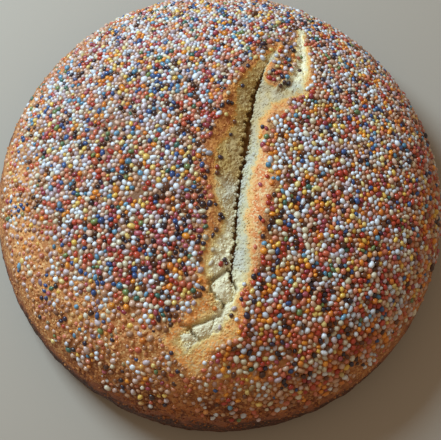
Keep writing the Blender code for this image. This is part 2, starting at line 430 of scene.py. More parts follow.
def thinPart(x, y):
    # 1 where the coat of pearls is thin
    turned = (np.degrees(np.arctan2(y, x)) - coverForm["bearing"] + 180) % 360 - 180
    width = np.where(turned < 0, *coverForm["widths"])
    limit = coverForm["limit"] - coverForm["reach"] * np.exp(-((turned / width) ** 2))
    limit = limit + coverForm["wander"] * noiseAt(x, y, 13 * mm, 61.0)
    return between(limit - coverForm["fade"], limit + coverForm["fade"], np.hypot(x, y))


def rightPart(x, y):
    # 0 at the far left, 1 at the near right, where the painted shade between the pearls turns lighter and
    # warmer
    return between(-0.6, 0.9, (x - y) / loafRadius)


def warmPart(x, y):
    # how much darker and redder the crust is baked, towards the near rim
    share = shareAt(x, y)
    return np.maximum(sidePart("bottom", x, y) * between(0.78, 0.98, share),
                      0.4 * sidePart("near", x, y) * between(0.9, 0.985, share))


# The crust's mesh: an even ball laid over the loaf's profile, finer where more detail shows

crustMesh = {
    "subdivisions": 6,
    "levels": 3,
    "bareLumps": ((2.6 * mm, 0.28 * mm), (1.1 * mm, 0.2 * mm)),
    "rimLumps": ((9 * mm, 0.45 * mm), (2.4 * mm, 0.3 * mm), (1.1 * mm, 0.16 * mm)),
    "bakedUp": 2.5 * mm,           # how far the dark baking of the rim reaches up the dome
    "bakedMore": {"near": 2.8 * mm, "bottom": 6.2 * mm, "far": 5.5 * mm},
}


def loafProfile():
    # radius and height, from the crown down over the rim to the middle of the base
    shares = np.sin(0.5 * np.pi * np.linspace(0, 1, 160))
    points = [(loafRadius * share, domeHeight(share)) for share in shares]
    for heightShare, inset in loafForm["rimSteps"]:
        points.append((loafRadius - inset, loafForm["rimHeight"] * heightShare))
    points.append((0.0, 0.0))
    return np.array(points)


def layOverLoaf(directions):
    # places on the plain loaf for points of a unit ball, with even areas
    profile = loafProfile()
    radii = (profile[1:, 0] + profile[:-1, 0]) / 2
    areas = radii * np.hypot(*(profile[1:] - profile[:-1]).T)
    areas[-1] *= loafForm["baseWeight"]
    filled = np.r_[0, np.cumsum(areas)] / areas.sum()
    down = (1 - directions[:, 2]) / 2
    radius = np.interp(down, filled, profile[:, 0])
    height = np.interp(down, filled, profile[:, 1])
    flat = np.hypot(directions[:, 0], directions[:, 1])
    flat[flat < 1e-9] = 1
    return np.stack((radius * directions[:, 0] / flat, radius * directions[:, 1] / flat, height), 1)


def wantedLevel(places):
    # how many times the mesh is divided at each place
    x, y, z = places.T
    valleys = valleysAt(x, y)
    share = np.minimum(valleys[0]["share"], valleys[1]["share"])
    onTop = z > loafForm["rimHeight"]
    level = np.zeros(len(x))
    level[onTop & (thinPart(x, y) > 0.2)] = 1
    level[(z <= loafForm["rimHeight"] * 2) & (z > 0.02 * mm)] = 1
    level[(z <= loafForm["rimHeight"] * 1.8) & (z > 0.02 * mm) & (sidePart("near", x, y) > 0.6)] = 2
    level[onTop & (share < 1.3)] = 2
    level[onTop & (share < 1.0)] = 3
    return level


def makeLoafMesh():
    bm = bmesh.new()
    bmesh.ops.create_icosphere(bm, subdivisions=crustMesh["subdivisions"], radius=1)
    for level in range(crustMesh["levels"]):
        directions = np.array([v.co for v in bm.verts])
        wanted = wantedLevel(layOverLoaf(directions)) > level
        edges = [e for e in bm.edges if wanted[e.verts[0].index] and wanted[e.verts[1].index]]
        bmesh.ops.subdivide_edges(bm, edges=edges, cuts=1, use_grid_fill=True)
        for vert in bm.verts:
            vert.co.normalize()
        bm.verts.index_update()
    bmesh.ops.triangulate(bm, faces=bm.faces)
    directions = np.array([v.co for v in bm.verts])
    mesh = bpy.data.meshes.new("loafCrust")
    bm.to_mesh(mesh)
    bm.free()
    return mesh, directions


def bakedPart(x, y, z):
    # 1 on the dark band round the foot, with a straying upper edge
    wander = 5 * mm * noiseAt(x, y, 8 * mm, 91.0, z) + 3 * mm * noiseAt(x, y, 1.8 * mm, 93.0, z)
    top = loafForm["rimHeight"] + crustMesh["bakedUp"]
    for side, more in crustMesh["bakedMore"].items():
        top = top + more * sidePart(side, x, y)
    return between(top + 5 * mm, top - 4 * mm, z + wander)


def shapeLoaf(mesh, directions):
    # x, y and z are views of the places, and change with them
    places = layOverLoaf(directions)
    x, y, z = places.T
    rim = loafForm["rimHeight"]
    onTop = (z > rim + 0.01 * mm).astype(float)
    valleys = valleysAt(x, y)
    relief = tearRelief(x, y, valleys)
    share = shareAt(x, y)
    settled = between(1.0, 0.93, share)
    bare = thinPart(x, y) * onTop
    lumps = sum(rise * noiseAt(x, y, size, 70 + size / mm, z) for size, rise in crustMesh["bareLumps"])
    lift = crustRise(x, y, valleys) + settled * relief["height"]
    places[:, 2] += onTop * lift
    # lumps stand out from the surface, which on the rim is sideways
    outward = np.stack((x, y, 0 * z), 1) / np.maximum(np.hypot(x, y), 1 * mm)[:, None]
    slope = np.clip(share ** 4, 0, 1)[:, None]
    normal = outward * slope + np.array((0, 0, 1.0)) * (1 - slope)
    places += normal * ((0.4 + 0.6 * bare) * lumps * onTop * (1 - relief["crumb"]))[:, None]
    wall = between(0.02 * mm, 1.2 * mm, z) * between(rim + 5 * mm, rim - 1 * mm, z)
    rough = sum(rise * noiseAt(x, y, size, 80 + size / mm, z) for size, rise in crustMesh["rimLumps"])
    places += outward * (wall * rough)[:, None]
    mesh.vertices.foreach_set("co", places.astype(np.float32).ravel())
    edge = sidePart("near", x, y) * between(*coverForm["rimFade"], share)
    edge = np.maximum(edge, sidePart("far", x, y) * between(*coverForm["farEnd"], share + 0.03))
    marks = {name: relief[name] * onTop for name in ("crumb", "toast", "gap", "crease")}
    marks["scorchAndShade"], marks["bare"] = relief["scorchAndShade"], np.maximum(bare, edge)
    marks["rimBake"], marks["warm"] = bakedPart(x, y, z), warmPart(x, y)
    marks["lowEnd"], marks["rightward"] = relief["lowEnd"], rightPart(x, y)
    setMarks(mesh, marks)
    mesh.update()
    mesh.shade_smooth()
    print("loaf shaped:", len(mesh.polygons), "triangles")


# Small helpers for materials

def setInputs(tree, node, values):
    # values are numbers, colours or other nodes' sockets
    for name, value in values.items():
        if isinstance(value, bpy.types.NodeSocket):
            tree.links.new(value, node.inputs[name])
        else:
            node.inputs[name].default_value = value


def makeNode(tree, kind, values=None, **settings):
    node = tree.nodes.new("ShaderNode" + kind)
    for name, value in settings.items():
        setattr(node, name, value)
    setInputs(tree, node, values or {})
    return node


def mixColours(tree, factor, first, second, blend="MIX"):
    values = {0: factor, 6: first, 7: second}
    return makeNode(tree, "Mix", values, data_type="RGBA", blend_type=blend).outputs[2]


def calc(tree, operation, *values):
    return makeNode(tree, "Math", dict(enumerate(values)), operation=operation).outputs[0]


def ramp(tree, value, lowIn, highIn, lowOut=0.0, highOut=1.0):
    values = {"Value": value, "From Min": lowIn, "From Max": highIn, "To Min": lowOut, "To Max": highOut}
    return makeNode(tree, "MapRange", values, interpolation_type="SMOOTHSTEP").outputs["Result"]


def noiseNode(tree, place, size, detail=2.0, roughness=0.5):
    values = {"Vector": place, "Scale": 1 / size, "Detail": detail, "Roughness": roughness}
    return makeNode(tree, "TexNoise", values).outputs["Fac"]


def attributeNode(tree, name):
    return makeNode(tree, "Attribute", attribute_name=name).outputs["Fac"]


def startGroup(name, inputs, outputs):
    group = bpy.data.node_groups.new(name, "ShaderNodeTree")
    for label, kind, value in inputs:
        socket = group.interface.new_socket(label, in_out="INPUT", socket_type="NodeSocket" + kind)
        if value is not None:
            socket.default_value = value
    for label, kind in outputs:
        group.interface.new_socket(label, in_out="OUTPUT", socket_type="NodeSocket" + kind)
    return group, group.nodes.new("NodeGroupInput").outputs, group.nodes.new("NodeGroupOutput").inputs


def useGroup(tree, group, values):
    node = tree.nodes.new("ShaderNodeGroup")
    node.node_tree = group
    setInputs(tree, node, values)
    return node.outputs


def startMaterial(name, roughness, specular=0.5):
    material = bpy.data.materials.new(name)
    material.use_nodes = True
    tree = material.node_tree
    shader = tree.nodes["Principled BSDF"]
    shader.inputs["Roughness"].default_value = roughness
    shader.inputs["Specular IOR Level"].default_value = specular
    place = tree.nodes.new("ShaderNodeTexCoord").outputs["Object"]
    return material, tree, shader, place


# Baked dough: golden and brown patches of small grains, each of its own tone

def doughGroup():
    group, given, result = startGroup("bakedDough", (
        ("Vector", "Vector", None), ("Golden", "Color", (0.5, 0.25, 0.07, 1)),
        ("Brown", "Color", (0.2, 0.08, 0.02, 1)),
        ("Speck", "Color", (0.7, 0.45, 0.2, 1)), ("Grain size", "Float", 0.6 * mm),
        ("Patch size", "Float", 7 * mm),
    ), (("Color", "Color"), ("Height", "Float")))
    small = {"Vector": given["Vector"], "Scale": calc(group, "DIVIDE", 1.0, given["Grain size"])}
    wide = {"Vector": given["Vector"], "Scale": calc(group, "DIVIDE", 1.0, given["Patch size"])}
    patches = makeNode(group, "TexNoise", {**wide, "Detail": 5.0}).outputs["Fac"]
    fine = makeNode(group, "TexNoise", {**small, "Detail": 3.0}).outputs["Fac"]
    grains = makeNode(group, "TexVoronoi", small, feature="F1")
    tone = makeNode(group, "SeparateColor", {"Color": grains.outputs["Color"]}).outputs["Red"]
    tone = calc(group, "MULTIPLY_ADD", fine, 0.9, calc(group, "ADD", tone, -0.45))
    colour = mixColours(group, ramp(group, patches, 0.40, 0.62), given["Golden"], given["Brown"])
    colour = mixColours(group, ramp(group, tone, 0.62, 0.95, 0.0, 0.85), colour, given["Speck"])
    colour = mixColours(group, ramp(group, tone, 0.42, 0.1, 0.0, 0.85), colour, given["Brown"])
    group.links.new(colour, result["Color"])
    group.links.new(calc(group, "MULTIPLY_ADD", grains.outputs["Distance"], -0.7, fine), result["Height"])
    return group


# Torn crumb: pale, with yellow patches and small pores painted dark as shade

def crumbGroup():
    group, given, result = startGroup("tornCrumb", (
        ("Vector", "Vector", None), ("Pale", "Color", (0.7, 0.6, 0.35, 1)),
        ("Yellow", "Color", (0.6, 0.4, 0.12, 1)), ("Pore", "Color", (0.3, 0.2, 0.07, 1)),
    ), (("Color", "Color"), ("Height", "Float")))
    patches = noiseNode(group, given["Vector"], 5 * mm, 3.0)
    fine = noiseNode(group, given["Vector"], 1.0 * mm, 4.0, 0.65)
    pores = noiseNode(group, given["Vector"], 1.5 * mm, 2.0)
    colour = mixColours(group, ramp(group, patches, 0.4, 0.7), given["Pale"], given["Yellow"])
    colour = mixColours(group, ramp(group, fine, 0.5, 0.3, 0.0, 0.4), colour, given["Yellow"])
    colour = mixColours(group, ramp(group, pores, 0.31, 0.24, 0.0, 0.6), colour, given["Pore"])
    group.links.new(colour, result["Color"])
    group.links.new(fine, result["Height"])
    return group


bakedDough = doughGroup()
tornCrumb = crumbGroup()

crustFinish = {
    "golden": (0.87, 0.61, 0.36), "brown": (0.78, 0.50, 0.29), "speck": (0.95, 0.77, 0.53),
    "under": (0.51, 0.36, 0.25), "underRight": (0.65, 0.38, 0.18),     # crust between the pearls, darkened as painted shade; towards the near right lighter and warmer, as painted light in the shade
    "toast": (0.90, 0.70, 0.47), "toastDark": (0.86, 0.50, 0.26), "toastSpeck": (0.95, 0.82, 0.62),
    "scorch": (0.89, 0.61, 0.32), "scorchDark": (0.65, 0.36, 0.17), "deep": (0.44, 0.23, 0.12),
    "reddish": (0.60, 0.35, 0.22), "warm": (0.78, 0.63, 0.53),    # the second is a tint
    "rim": (0.33, 0.17, 0.11), "rimDark": (0.20, 0.10, 0.07), "rimSpeck": (0.50, 0.29, 0.20),
    "pale": (0.77, 0.76, 0.70), "yellow": (0.79, 0.75, 0.60), "honey": (0.91, 0.72, 0.44),
    "lowPale": (1.0, 0.96, 0.81), "lowYellow": (0.97, 0.87, 0.60),     # the same in the low end of the tear, with the two below; paler, and lifted further by painted light
    "lowGold": (1.0, 0.81, 0.50), "lowToast": (0.97, 0.63, 0.33),
    "shaded": (0.95, 0.83, 0.63),      # painted shade: a tint over the torn crumb of the left wall and of the upper right one
    # pores, creases and the gap are painted darker than the crumb, as painted shade in these hollows
    "poreShade": (0.58, 0.48, 0.30), "creaseShade": (0.46, 0.36, 0.20), "gap": (0.53, 0.36, 0.16),
    "roughness": 0.62, "specular": 0.35, "bump": 0.5, "grain": 0.4 * mm,
    "crumbGrain": 0.6,                 # height of the torn crumb's grain, against the crust's
    "creaseShare": 0.75,               # how much of the painted crease shade shows in a crease
}
crustMarks = ("crumb", "toast", "bare", "gap", "crease", "rimBake", "scorchAndShade", "warm", "lowEnd", "rightward")


def useDough(tree, place, golden, brown, speck, grain, patch=7 * mm):
    return useGroup(tree, bakedDough, {
        "Vector": place, "Golden": golden, "Brown": brown, "Speck": speck,
        "Grain size": grain, "Patch size": patch,
    })


def doughColour(tree, place, look, mark):
    # baked dough, from bare crust to the toasted lips and the dark rim, and the height of its grains
    low = mark["lowEnd"]
    brown = mixColours(tree, mark["warm"], look["brown"], look["deep"])
    crust = useDough(tree, place, look["golden"], brown, look["speck"], 0.9 * mm)
    # the low end's own paler toast, lifted further by painted light where its walls turn from the lamp
    golden = mixColours(tree, low, look["toast"], look["lowGold"])
    brown = mixColours(tree, low, look["toastDark"], look["lowToast"])
    toasted = useDough(tree, place, golden, brown, look["toastSpeck"], 0.7 * mm, 3.5 * mm)
    scorched = useDough(tree, place, look["scorch"], look["scorchDark"], look["golden"], 0.8 * mm, 3.5 * mm)
    rim = useDough(tree, place, look["rim"], look["rimDark"], look["rimSpeck"], 0.6 * mm)
    # painted shade between the pearls, lighter and warmer towards the near right
    under = mixColours(tree, mark["rightward"], look["under"], look["underRight"])
    colour = mixColours(tree, mark["bare"], under, crust["Color"])
    # the lips' scorched tones: partly real scorch, partly painted shade on the side turned from the lamp
    lips = mixColours(tree, mark["scorchAndShade"], toasted["Color"], scorched["Color"])
    colour = mixColours(tree, mark["toast"], colour, lips)
    colour = mixColours(tree, mark["warm"], colour, look["warm"], "MULTIPLY")
    colour = mixColours(tree, ramp(tree, mark["rimBake"], 0.0, 0.55), colour, look["reddish"])
    return mixColours(tree, ramp(tree, mark["rimBake"], 0.45, 1.0), colour, rim["Color"]), crust["Height"]


def crustMaterial():
    look = {name: toLinear(value) if isinstance(value, tuple) else value
            for name, value in crustFinish.items()}
    material, tree, shader, place = startMaterial("bakedCrust", look["roughness"], look["specular"])
    mark = {name: attributeNode(tree, name) for name in crustMarks}
    low = mark["lowEnd"]
    grain = noiseNode(tree, place, 0.8 * mm, 3.0, 0.6)
    torn = calc(tree, "MULTIPLY_ADD", grain, 0.7, calc(tree, "ADD", mark["crumb"], -0.35))
    fresh = useGroup(tree, tornCrumb, {
        "Vector": place, "Pale": look["pale"], "Yellow": look["yellow"], "Pore": look["poreShade"],
    })
    # from crust to crumb through honey and yellow
    colour, crustHeight = doughColour(tree, place, look, mark)
    colour = mixColours(tree, ramp(tree, torn, 0.02, 0.36), colour, look["honey"])
    # the low end's paler crumb, lifted further by painted light
    yellow = mixColours(tree, low, look["yellow"], look["lowYellow"])
    colour = mixColours(tree, ramp(tree, torn, 0.28, 0.55), colour, yellow)
    freshest = mixColours(tree, calc(tree, "MULTIPLY", low, 0.75), fresh["Color"], look["lowPale"])
    colour = mixColours(tree, ramp(tree, torn, 0.5, 0.85), colour, freshest)
    # painted shade on the torn crumb where the lips' darker tones reach, lessened in the low end
    shade = calc(tree, "MULTIPLY", mark["scorchAndShade"], ramp(tree, torn, 0.0, 0.4))
    shade = calc(tree, "MULTIPLY", shade, ramp(tree, low, 0.0, 0.3, 1.0, 0.1))
    colour = mixColours(tree, shade, colour, look["shaded"], "MULTIPLY")
    # painted shade: the creases take on a darker colour
    creaseShaded = calc(tree, "MULTIPLY", mark["crease"], look["creaseShare"])
    colour = mixColours(tree, creaseShaded, colour, look["creaseShade"])
    # painted shade: the gap's darker brown over the crumb
    colour = mixColours(tree, mark["gap"], colour, look["gap"])
    tree.links.new(colour, shader.inputs["Base Color"])
    crumbHeight = calc(tree, "MULTIPLY", fresh["Height"], look["crumbGrain"])
    height = calc(tree, "MULTIPLY_ADD", crustHeight, ramp(tree, torn, 0.6, 0.2), crumbHeight)
    bump = makeNode(tree, "Bump", {"Strength": look["bump"], "Distance": look["grain"], "Height": height})
    tree.links.new(bump.outputs["Normal"], shader.inputs["Normal"])
    return material


loafMesh, loafDirections = makeLoafMesh()
shapeLoaf(loafMesh, loafDirections)
loafCrust = addObject(loafMesh, "loafCrust")
loafMesh.materials.append(crustMaterial())
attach(loafCrust, "root")
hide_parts("loaf")


# Sugar pearls: every one of them at its real size, one piece for each colour

pearlForm = {
    "density": 0.305,                 # pearls on each square millimetre of covered crust
    "radius": 0.97 * mm, "spread": 0.16, "smallest": 0.55 * mm, "largest": 1.42 * mm,
    "smaller": 0.04,                  # how much smaller they are where the coat is thin
    "nearer": 0.17,                   # how much larger they are at the near edge, smaller at the far one
    "longShare": 0.5, "long": (0.12, 0.44),     # share of long ones, and how long
    "sink": (-0.25, 0.35),            # how far the centre lies below the crust, in radii
    "deeper": 0.08,                   # how much deeper where the coat is thin
    "strayHigher": 0.2,               # how much higher the stray ones in the tear lie
    "steep": (0.9, 0.97),             # radii, in shares, between which they turn outward with the dome
    "rounds": 60, "spacing": 0.97,    # pushing apart, until centres lie this share of two radii apart
    "evenness": 0.25,                 # how much further apart they are pushed at first
    "around": 8, "rings": 5, "shapes": 12, "dent": 0.26,
    "lowest": 10.2 * mm,
    "leftLip": 11 * mm, "rightLip": 5 * mm,     # reach of the lips' own mix of colours,
    "bakedLip": 8 * mm,                         # and of the browned pearls beside the left one
    "seed": 23,
}

# Colour as seen and the colour of its other batch, share in a hundred, how much more of it lies to the
# far left than to the near right, and how much it clumps
# The lean is partly painted light and shade: the far left faces the lamp, so whiter and bluer kinds lean
# there, redder and browner ones to the near right.
pearlKinds = {
    "white": ((0.91, 0.94, 0.97), (0.77, 0.81, 0.86), 19, 0.2, 0.8),
    "cream": ((0.89, 0.86, 0.77), (0.83, 0.78, 0.65), 10.5, 0.0, 1.0),
    "yellow": ((0.93, 0.76, 0.33), (0.90, 0.82, 0.54), 6, -0.1, 1.8),
    "amber": ((0.95, 0.61, 0.18), (0.85, 0.47, 0.15), 6.5, -0.4, 1.6),
    "coral": ((0.80, 0.38, 0.27), (0.86, 0.55, 0.43), 10.5, -0.2, 1.6),
    "tan": ((0.86, 0.72, 0.63), (0.75, 0.57, 0.44), 16, 0.25, 0.9),
    "red": ((0.68, 0.18, 0.13), (0.78, 0.30, 0.20), 5.5, -0.35, 2.2),
    "crimson": ((0.58, 0.17, 0.25), (0.72, 0.36, 0.41), 4, 0.1, 2.2),
    "mauve": ((0.83, 0.77, 0.79), (0.71, 0.63, 0.66), 11, 0.5, 1.0),
    "sky": ((0.42, 0.64, 0.76), (0.19, 0.46, 0.58), 2.7, 0.5, 2.2),
    "blue": ((0.09, 0.29, 0.52), (0.20, 0.38, 0.60), 3.3, 0.4, 2.4),
    "navy": ((0.05, 0.06, 0.13), (0.10, 0.13, 0.26), 3.4, 0.0, 2.4),
    "green": ((0.16, 0.40, 0.35), (0.47, 0.55, 0.30), 2.0, 0.0, 2.0),
    "burnt": ((0.23, 0.11, 0.08), (0.44, 0.25, 0.15), 4.2, -0.2, 2.2),
}
pearlNames = list(pearlKinds)

# Places where some kinds of pearls lie thickest: x, y and reach in mm, how much, and the kinds
gathered = (
    (-30.5, -23.0, 9, 7, ("burnt", "crimson", "navy", "red")),
    (-14, -9, 9, 2.0, ("burnt", "crimson", "navy")),
    (-24, -40, 7, 2, ("burnt", "navy", "red")), (-46, -18, 7, 1.5, ("navy", "blue", "red")),
    (35.6, -16.5, 8, 3, ("burnt", "crimson", "red")), (21.9, -21.9, 5, 6, ("navy", "burnt")),
    (-24.6, 37.8, 7, 2.2, ("sky", "blue")), (-45.8, 20.5, 6, 3, ("navy", "green", "burnt")),
    (59.9, -59.7, 5, 6, ("navy", "blue")), (-9, 27, 8, 2, ("burnt", "red", "navy")),
    (29.4, 67.5, 3, 12, ("navy", "burnt")), (25, 4, 9, 3, ("yellow", "white")),
    (21, -8, 5, 2, ("yellow", "white")), (25, 16, 5, 2, ("yellow", "white", "amber", "blue")),
    # a wide gathering of dark pearls on the near right, partly painted shade of that side, which is turned
    # from the lamp
    (50, -55, 26, 0.9, ("burnt", "navy", "crimson", "red")),
    (-20, -30, 9, 1.5, ("yellow", "white", "amber")), (-7.5, -10.5, 3.5, 6, ("burnt", "navy", "red")),
    (-64, -54, 6, 9, ("green", "navy", "sky")), (-67, -45, 5, 7, ("navy", "blue", "crimson")),
    (-43, -69, 6, 8, ("green", "navy", "sky")), (-66, -18, 8, 1.5, ("red", "crimson", "coral")),
)

# Kinds that are more or less common on some parts of the loaf: kinds, part and how much
kindShifts = (
    (("burnt",), "leftLip", 1.8), (("navy",), "leftLip", 3.5), (("red", "crimson", "coral"), "leftLip", 0.9),
    (("white", "sky"), "leftLip", -0.3), (("coral", "amber", "navy", "red"), "rightLip", 0.9),
    (("tan", "coral"), "edge", 0.7), (("sky", "blue"), "edge", -0.4), (("white",), "edge", 0.3),
    (("tan", "coral", "amber"), "farEdge", 0.7), (("white", "mauve"), "farEdge", -0.6),
)

# Stray pearls inside the tear, in mm: x, y and colour
strayPearls = (
    (7.6, 45.0, "navy"), (5.5, 37.0, "navy"), (-0.1, 29.7, "navy"), (1.3, 29.4, "navy"),
    (2.6, 38.2, "cream"), (-0.2, 33.2, "cream"), (-1.0, 24.7, "yellow"), (2.2, 22.4, "burnt"),
    (0.9, 17.3, "navy"), (-3.1, 8.0, "navy"), (12.7, 19.9, "navy"), (14.0, 19.1, "crimson"),
    (10.7, 49.0, "yellow"), (-4.3, 4.0, "red"), (-4.4, 1.8, "burnt"), (-3.0, -13.7, "navy"),
    (-2.2, -14.8, "navy"), (-3.4, -15.5, "burnt"), (-4.8, -19.5, "burnt"), (-5.9, -21.6, "navy"),
    (-5.9, -26.8, "cream"), (-1.4, -30.0, "navy"), (-0.6, -31.4, "burnt"), (-2.8, -31.7, "red"),
    (-6.4, -31.6, "cream"), (11.5, -15.3, "navy"), (12.4, -16.2, "red"), (12.4, -21.9, "navy"),
    (-9.4, -40.8, "navy"), (-4.9, -47.8, "amber"), (5.8, -39.2, "white"), (2.2, -47.7, "mauve"),
    (1.3, -50.2, "burnt"), (3.2, -51.6, "white"), (-2.9, -54.4, "mauve"), (27.5, 50.3, "coral"),
    (27.9, 44.9, "burnt"), (28.7, 51.1, "green"), (14.1, 0.4, "red"), (11.6, -2.5, "crimson"),
    (18.9, 50.2, "white"), (21.2, 50.5, "mauve"), (22.9, 49.3, "navy"), (23.7, 48.7, "sky"),
    (17.9, 47.4, "mauve"), (19.6, 47.0, "white"), (22.2, 47.6, "red"), (18.9, 45.2, "yellow"),
    (20.8, 45.4, "amber"), (22.1, 44.7, "mauve"), (23.7, 46.1, "navy"), (24.6, 45.0, "coral"),
    (24.3, 43.9, "white"), (17.3, 43.3, "navy"), (15.8, 42.4, "cream"), (19.7, 42.9, "coral"),
    (18.4, 42.3, "red"), (22.0, 42.6, "coral"), (20.6, 41.0, "navy"), (22.6, 41.0, "sky"),
    (15.8, 40.1, "red"), (17.4, 39.4, "crimson"), (19.1, 39.9, "cream"), (21.3, 38.6, "navy"),
    (23.0, 38.5, "navy"), (19.8, 37.1, "burnt"), (22.7, 52.7, "white"), (23.2, 54.5, "mauve"),
    (24.9, 55.1, "blue"), (25.7, 53.4, "navy"), (22.3, 56.6, "burnt"), (26.5, 56.6, "mauve"),
    (17.1, 53.2, "yellow"), (13.4, 49.1, "white"), (20.3, 52.6, "red"), (25.4, 50.9, "amber"),
)


def ontoDome(places):
    # moves points straight towards or away from the dome's middle until they lie on it
    rim, crown, power = loafForm["rimHeight"], loafForm["crown"], loafForm["domePower"]
    flat = (np.hypot(places[:, 0], places[:, 1]) / loafRadius) ** power
    rise = ((places[:, 2] - rim) / (crown - rim)) ** 2
    scale = np.ones(len(places))
    for _ in range(5):
        value = flat * scale ** power + rise * scale ** 2 - 1
        slope = power * flat * scale ** (power - 1) + 2 * rise * scale
        scale -= value / slope
    moved = places * scale[:, None]
    moved[:, 2] = rim + (places[:, 2] - rim) * scale
    return moved


def pearlCover(places):
    # how likely a pearl is at each place, from 0 to 1
    x, y, z = places.T
    valleys = valleysAt(x, y)
    least = coverForm["thin"] + coverForm["thinAside"] * (1 - sidePart("barest", x, y))
    thin = 1 - (1 - least) * thinPart(x, y)
    free = pastLip(valleys) > coverForm["edge"] + coverForm["edgeWander"] * noiseAt(x, y, 3.5 * mm, 15.0)
    near, share = sidePart("near", x, y), shareAt(x, y)
    bottom = sidePart("bottom", x, y)
    thinnest = coverForm["rimThin"] * (1 - bottom) + coverForm["bottomThin"] * bottom
    rim = 1 - near * (1 - thinnest) * between(*coverForm["rimFade"], share)
    rim *= 1 - near * (1 - coverForm["rimLast"]) * between(*coverForm["rimEnd"], share)
    rim *= 1 - sidePart("far", x, y) * (1 - coverForm["farLast"]) * between(*coverForm["farEnd"], share)
    return thin * rim * free * (z > pearlForm["lowest"])


def sizeAt(y):
    return 1 - pearlForm["nearer"] * y / loafRadius


def choosePearls():
    # random places on the covered crust, with radii
    draw = np.random.default_rng(pearlForm["seed"])
    shares = np.linspace(0, 1, 400)
    radii, heights = loafRadius * shares, domeHeight(shares)
    rings = np.pi * (radii[1:] + radii[:-1]) * np.hypot(np.diff(radii), np.diff(heights))
    areas = np.r_[0, np.cumsum(rings)]
    count = int(areas[-1] / mm**2 * pearlForm["density"] / sizeAt(loafRadius) ** 2)
    reached = draw.random(count) * areas[-1]
    radius, turn = np.interp(reached, areas, radii), draw.random(count) * 2 * np.pi
    places = np.stack((radius * np.cos(turn), radius * np.sin(turn), domeHeight(radius / loafRadius)), 1)
    crowding = (sizeAt(loafRadius) / sizeAt(places[:, 1])) ** 2
    places = places[draw.random(count) < pearlCover(places) * crowding]
    sizes = pearlForm["radius"] * np.exp(pearlForm["spread"] * draw.standard_normal(len(places)))
    sizes *= sizeAt(places[:, 1]) * (1 - pearlForm["smaller"] * thinPart(places[:, 0], places[:, 1]))
    return places, np.clip(sizes, pearlForm["smallest"], pearlForm["largest"]), draw


def nearPairs(places, reach):
    tree = KDTree(len(places))
    for number, place in enumerate(places):
        tree.insert(place, number)
    tree.balance()
    pairs = [(i, j) for i, place in enumerate(places) for _, j, _ in tree.find_range(place, reach) if i < j]
    return np.array(pairs).T


def pushApart(places, sizes):
    # pearls that overlap push each other along the crust, as they do when they roll down
    for number in range(pearlForm["rounds"]):
        wide = pearlForm["spacing"] + pearlForm["evenness"] * max(0, 1 - 1.5 * number / pearlForm["rounds"])
        if number % 5 == 0:
            first, second = nearPairs(places, 2.4 * pearlForm["largest"])
        apart = places[first] - places[second]
        far = np.maximum(np.linalg.norm(apart, axis=1), 1e-6)
        overlap = np.maximum(0, (sizes[first] + sizes[second]) * wide - far)
        push = apart / far[:, None] * (0.5 * overlap)[:, None]
        moved = places.copy()
        np.add.at(moved, first, 0.7 * push)
        np.add.at(moved, second, -0.7 * push)
        moved = ontoDome(moved)
        kept = pearlCover(moved) > 0.05
        places = np.where(kept[:, None], moved, places)
    return places


def crustSurface(x, y):
    # height and normal of the crust with its tear, where pearls sit
    def height(px, py):
        valleys = valleysAt(px, py)
        drop = np.maximum(valleyDrop(valleys[0]), valleyDrop(valleys[1]))
        return domeHeight(shareAt(px, py)) + crustRise(px, py, valleys) - drop
    step = 0.4 * mm
    slopes = [(height(x + step * a, y + step * b) - height(x - step * a, y - step * b)) / (2 * step)
              for a, b in ((1, 0), (0, 1))]
    return height(x, y), unit(np.stack((-slopes[0], -slopes[1], np.ones(len(x))), 1))


def domeNormals(places):
    rim, crown, power = loafForm["rimHeight"], loafForm["crown"], loafForm["domePower"]
    flat = np.hypot(places[:, 0], places[:, 1])
    outward = power * (flat / loafRadius) ** (power - 2) / loafRadius**2
    normals = places * outward[:, None]
    normals[:, 2] = 2 * (places[:, 2] - rim) / (crown - rim) ** 2
    return unit(normals)


def colourParts(x, y):
    # the parts of the loaf where the mix of colours differs
    valleys = valleysAt(x, y)
    left = valleys[0]["across"] < 0
    sides = np.maximum(sidePart("near", x, y), sidePart("far", x, y))
    edge = sides * between(0.88, 0.96, shareAt(x, y))
    return {
        "leftLip": lipPart(valleys, pearlForm["leftLip"]) * left,
        "rightLip": lipPart(valleys, pearlForm["rightLip"]) * ~left,
        "edge": edge, "farEdge": edge * between(-0.1, 0.5, (y - x) / loafRadius),
    }


def pearlColours(places, draw):
    # one kind for each pearl, in loose clumps
    x, y = places[:, 0], places[:, 1]
    parts, farLeft = colourParts(x, y), (y - x) / loafRadius
    weights = []
    for number, (_, _, share, lean, gather) in enumerate(pearlKinds.values()):
        clump = noiseAt(x, y, 5 * mm, 100.0 + 3 * number) + 0.5 * noiseAt(x, y, 17 * mm, 200.0 + 3 * number)
        # the lean is partly painted light: more pale kinds on the lit far left
        weights.append(share * np.exp(lean * farLeft + gather * clump))
    weights = np.array(weights)
    changes = [(names, parts[part], more) for names, part, more in kindShifts]
    for cx, cy, reach, more, names in gathered:
        changes.append((names, np.exp(-(np.hypot(x / mm - cx, y / mm - cy) / reach) ** 2), more))
    for names, part, more in changes:
        for name in names:
            weights[pearlNames.index(name)] *= 1 + more * part
    chances = np.cumsum(weights / weights.sum(0), axis=0)
    return (draw.random(len(x)) > chances).sum(0).clip(0, len(pearlNames) - 1)


def cornersAndFaces(bm):
    bm.verts.index_update()
    corners = np.array([v.co for v in bm.verts])
    faces = [[v.index for v in f.verts] for f in bm.faces]
    bm.free()
    return corners, faces


def pearlShapes():
    # a few round balls, each dented in its own way
    shapes = []
    for number in range(pearlForm["shapes"]):
        bm = bmesh.new()
        around, rings = pearlForm["around"], pearlForm["rings"]
        bmesh.ops.create_uvsphere(bm, u_segments=around, v_segments=rings, radius=1)
        for vert in bm.verts:
            vert.co *= 1 + pearlForm["dent"] * noise.noise(vert.co * 1.3 + Vector((7 * number, 0, 3)))
        shapes.append(cornersAndFaces(bm))
    return shapes


